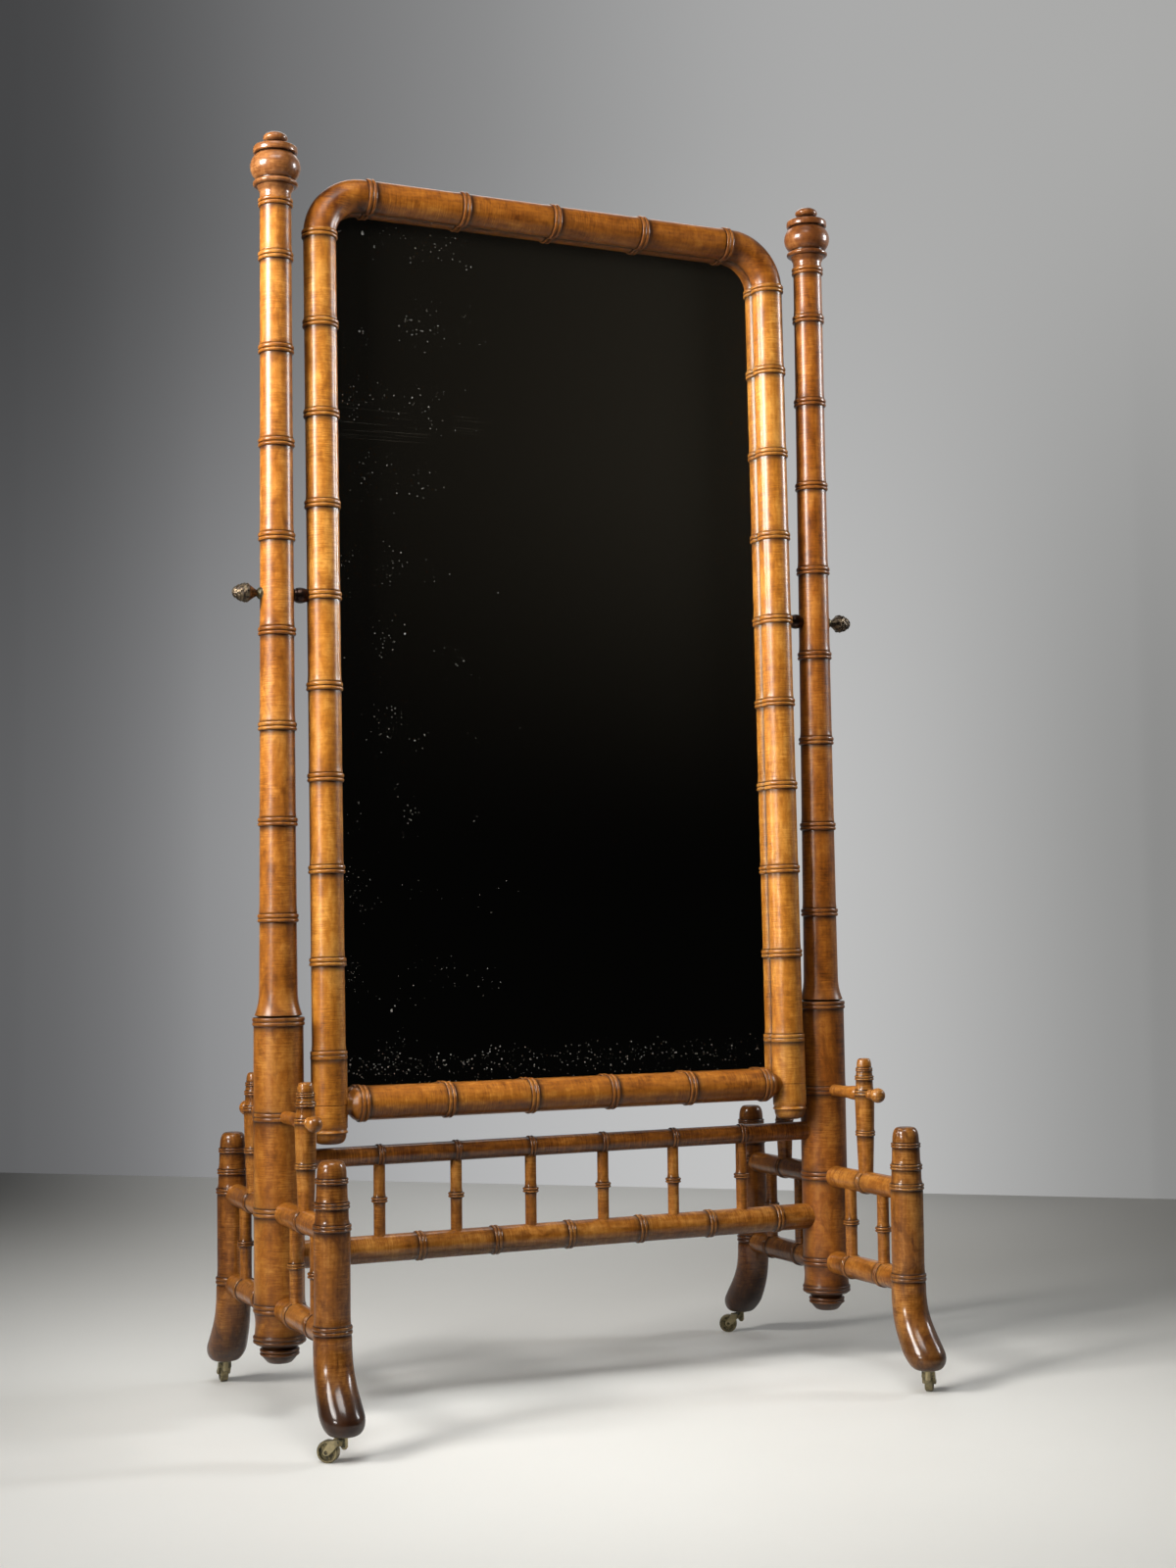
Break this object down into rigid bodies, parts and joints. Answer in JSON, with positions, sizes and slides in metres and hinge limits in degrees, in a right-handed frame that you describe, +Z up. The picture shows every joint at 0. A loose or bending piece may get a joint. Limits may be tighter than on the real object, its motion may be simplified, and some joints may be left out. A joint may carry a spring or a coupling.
{
  "type": "cheval mirror",
  "caption": "Tilting full-length mirror in a turned wooden stand with ringed posts, ball finials and swept feet on brass casters.",
  "frame": {"origin": "on the floor, midway between the posts and between the front and rear feet", "axes": "+X towards the right post seen from the front, +Y to the rear, +Z up; the mirror faces -Y"},
  "size_m": [1.0264, 0.6304, 1.8498],
  "materials": {
    "post_wood": "varnished, figured, dark in the ring grooves",
    "light_wood": "varnished, figured, dark in the ring grooves",
    "dark_wood": "varnished, darkened with age",
    "back_wood": "unpolished",
    "mirror_plate": "aged silvering",
    "old_brass": "worn, greenish patina",
    "dark_brass": "dark patina, worn bright on the edges"
  },
  "bodies": {
    "stand": {"left_post": "post_wood", "right_post": "post_wood", "left_finial": "dark_wood", "right_finial": "dark_wood", "front_left_leg": "post_wood", "front_right_leg": "post_wood", "rear_left_leg": "post_wood", "rear_right_leg": "post_wood", "front_left_upper_rail": "light_wood", "front_right_upper_rail": "light_wood", "rear_left_upper_rail": "light_wood", "rear_right_upper_rail": "light_wood", "front_left_lower_rail": "light_wood", "front_right_lower_rail": "light_wood", "rear_left_lower_rail": "light_wood", "rear_right_lower_rail": "light_wood", "front_left_spindles": "light_wood", "front_right_spindles": "light_wood", "rear_left_spindles": "light_wood", "rear_right_spindles": "light_wood", "front_left_spike": "light_wood", "front_right_spike": "light_wood", "rear_left_spike": "light_wood", "rear_right_spike": "light_wood", "front_left_peg": "light_wood", "front_right_peg": "light_wood", "rear_left_peg": "light_wood", "rear_right_peg": "light_wood", "peg_knobs": "dark_wood", "upper_stretcher": "light_wood", "lower_stretcher": "light_wood", "stretcher_spindles": "light_wood", "caster_plates": "old_brass"},
    "mirror_frame": {"left_stile": "light_wood", "right_stile": "light_wood", "left_elbow": "light_wood", "right_elbow": "light_wood", "top_rail": "light_wood", "bottom_rail": "light_wood", "mirror_glass": "mirror_plate", "backboard": "back_wood", "backboard_screws": "old_brass", "pivot_inserts": "old_brass", "pivot_spacers": "dark_brass"},
    "left_collar": {"left_collar": "old_brass"},
    "left_thumbscrew": {"left_thumbscrew": "dark_brass"},
    "right_collar": {"right_collar": "old_brass"},
    "right_thumbscrew": {"right_thumbscrew": "dark_brass"},
    "front_left_caster": {"front_left_horn": "old_brass", "front_left_axle": "old_brass"},
    "front_left_roller": {"front_left_wheel": "old_brass"},
    "front_right_caster": {"front_right_horn": "old_brass", "front_right_axle": "old_brass"},
    "front_right_roller": {"front_right_wheel": "old_brass"},
    "rear_left_caster": {"rear_left_horn": "old_brass", "rear_left_axle": "old_brass"},
    "rear_left_roller": {"rear_left_wheel": "old_brass"},
    "rear_right_caster": {"rear_right_horn": "old_brass", "rear_right_axle": "old_brass"},
    "rear_right_roller": {"rear_right_wheel": "old_brass"}
  },
  "joints": [
    {"name": "mirror_tilt", "type": "hinge", "parent": "stand", "child": "mirror_frame", "pos_m": [0, 0, 1.17085], "axis": [1, 0, 0], "range_deg": [-90, 90]},
    {"name": "left_collar_slide", "type": "slide", "parent": "stand", "child": "left_collar", "axis": [-1, 0, 0], "range_m": [0, 0.0028]},
    {"name": "left_thumbscrew_turn", "type": "hinge", "parent": "left_collar", "child": "left_thumbscrew", "pos_m": [-0.5, 0, 1.17085], "axis": [-1, 0, 0], "range_deg": [0, 720]},
    {"name": "right_collar_slide", "type": "slide", "parent": "stand", "child": "right_collar", "axis": [1, 0, 0], "range_m": [0, 0.0028]},
    {"name": "right_thumbscrew_turn", "type": "hinge", "parent": "right_collar", "child": "right_thumbscrew", "pos_m": [0.5, 0, 1.17085], "axis": [1, 0, 0], "range_deg": [0, 720]},
    {"name": "front_left_swivel", "type": "hinge", "parent": "stand", "child": "front_left_caster", "pos_m": [-0.447, -0.283, 0.03], "axis": [0, 0, 1], "continuous": true},
    {"name": "front_left_roll", "type": "hinge", "parent": "front_left_caster", "child": "front_left_roller", "pos_m": [-0.46385, -0.26886, 0.0145], "axis": [-0.6428, -0.766, 0], "continuous": true},
    {"name": "front_right_swivel", "type": "hinge", "parent": "stand", "child": "front_right_caster", "pos_m": [0.447, -0.283, 0.03], "axis": [0, 0, 1], "continuous": true},
    {"name": "front_right_roll", "type": "hinge", "parent": "front_right_caster", "child": "front_right_roller", "pos_m": [0.46054, -0.26566, 0.0145], "axis": [-0.788, 0.6157, 0], "continuous": true},
    {"name": "rear_left_swivel", "type": "hinge", "parent": "stand", "child": "rear_left_caster", "pos_m": [-0.447, 0.283, 0.03], "axis": [0, 0, 1], "continuous": true},
    {"name": "rear_left_roll", "type": "hinge", "parent": "rear_left_caster", "child": "rear_left_roller", "pos_m": [-0.44394, 0.30479, 0.0145], "axis": [-0.9903, 0.1392, 0], "continuous": true},
    {"name": "rear_right_swivel", "type": "hinge", "parent": "stand", "child": "rear_right_caster", "pos_m": [0.447, 0.283, 0.03], "axis": [0, 0, 1], "continuous": true},
    {"name": "rear_right_roll", "type": "hinge", "parent": "rear_right_caster", "child": "rear_right_roller", "pos_m": [0.42795, 0.294, 0.0145], "axis": [-0.5, -0.866, 0], "continuous": true}
  ],
  "couplings": [
    {"joint": "left_thumbscrew_turn", "follows": "left_collar_slide", "rad_per_m": 4487.9},
    {"joint": "right_thumbscrew_turn", "follows": "right_collar_slide", "rad_per_m": 4487.9}
  ]
}
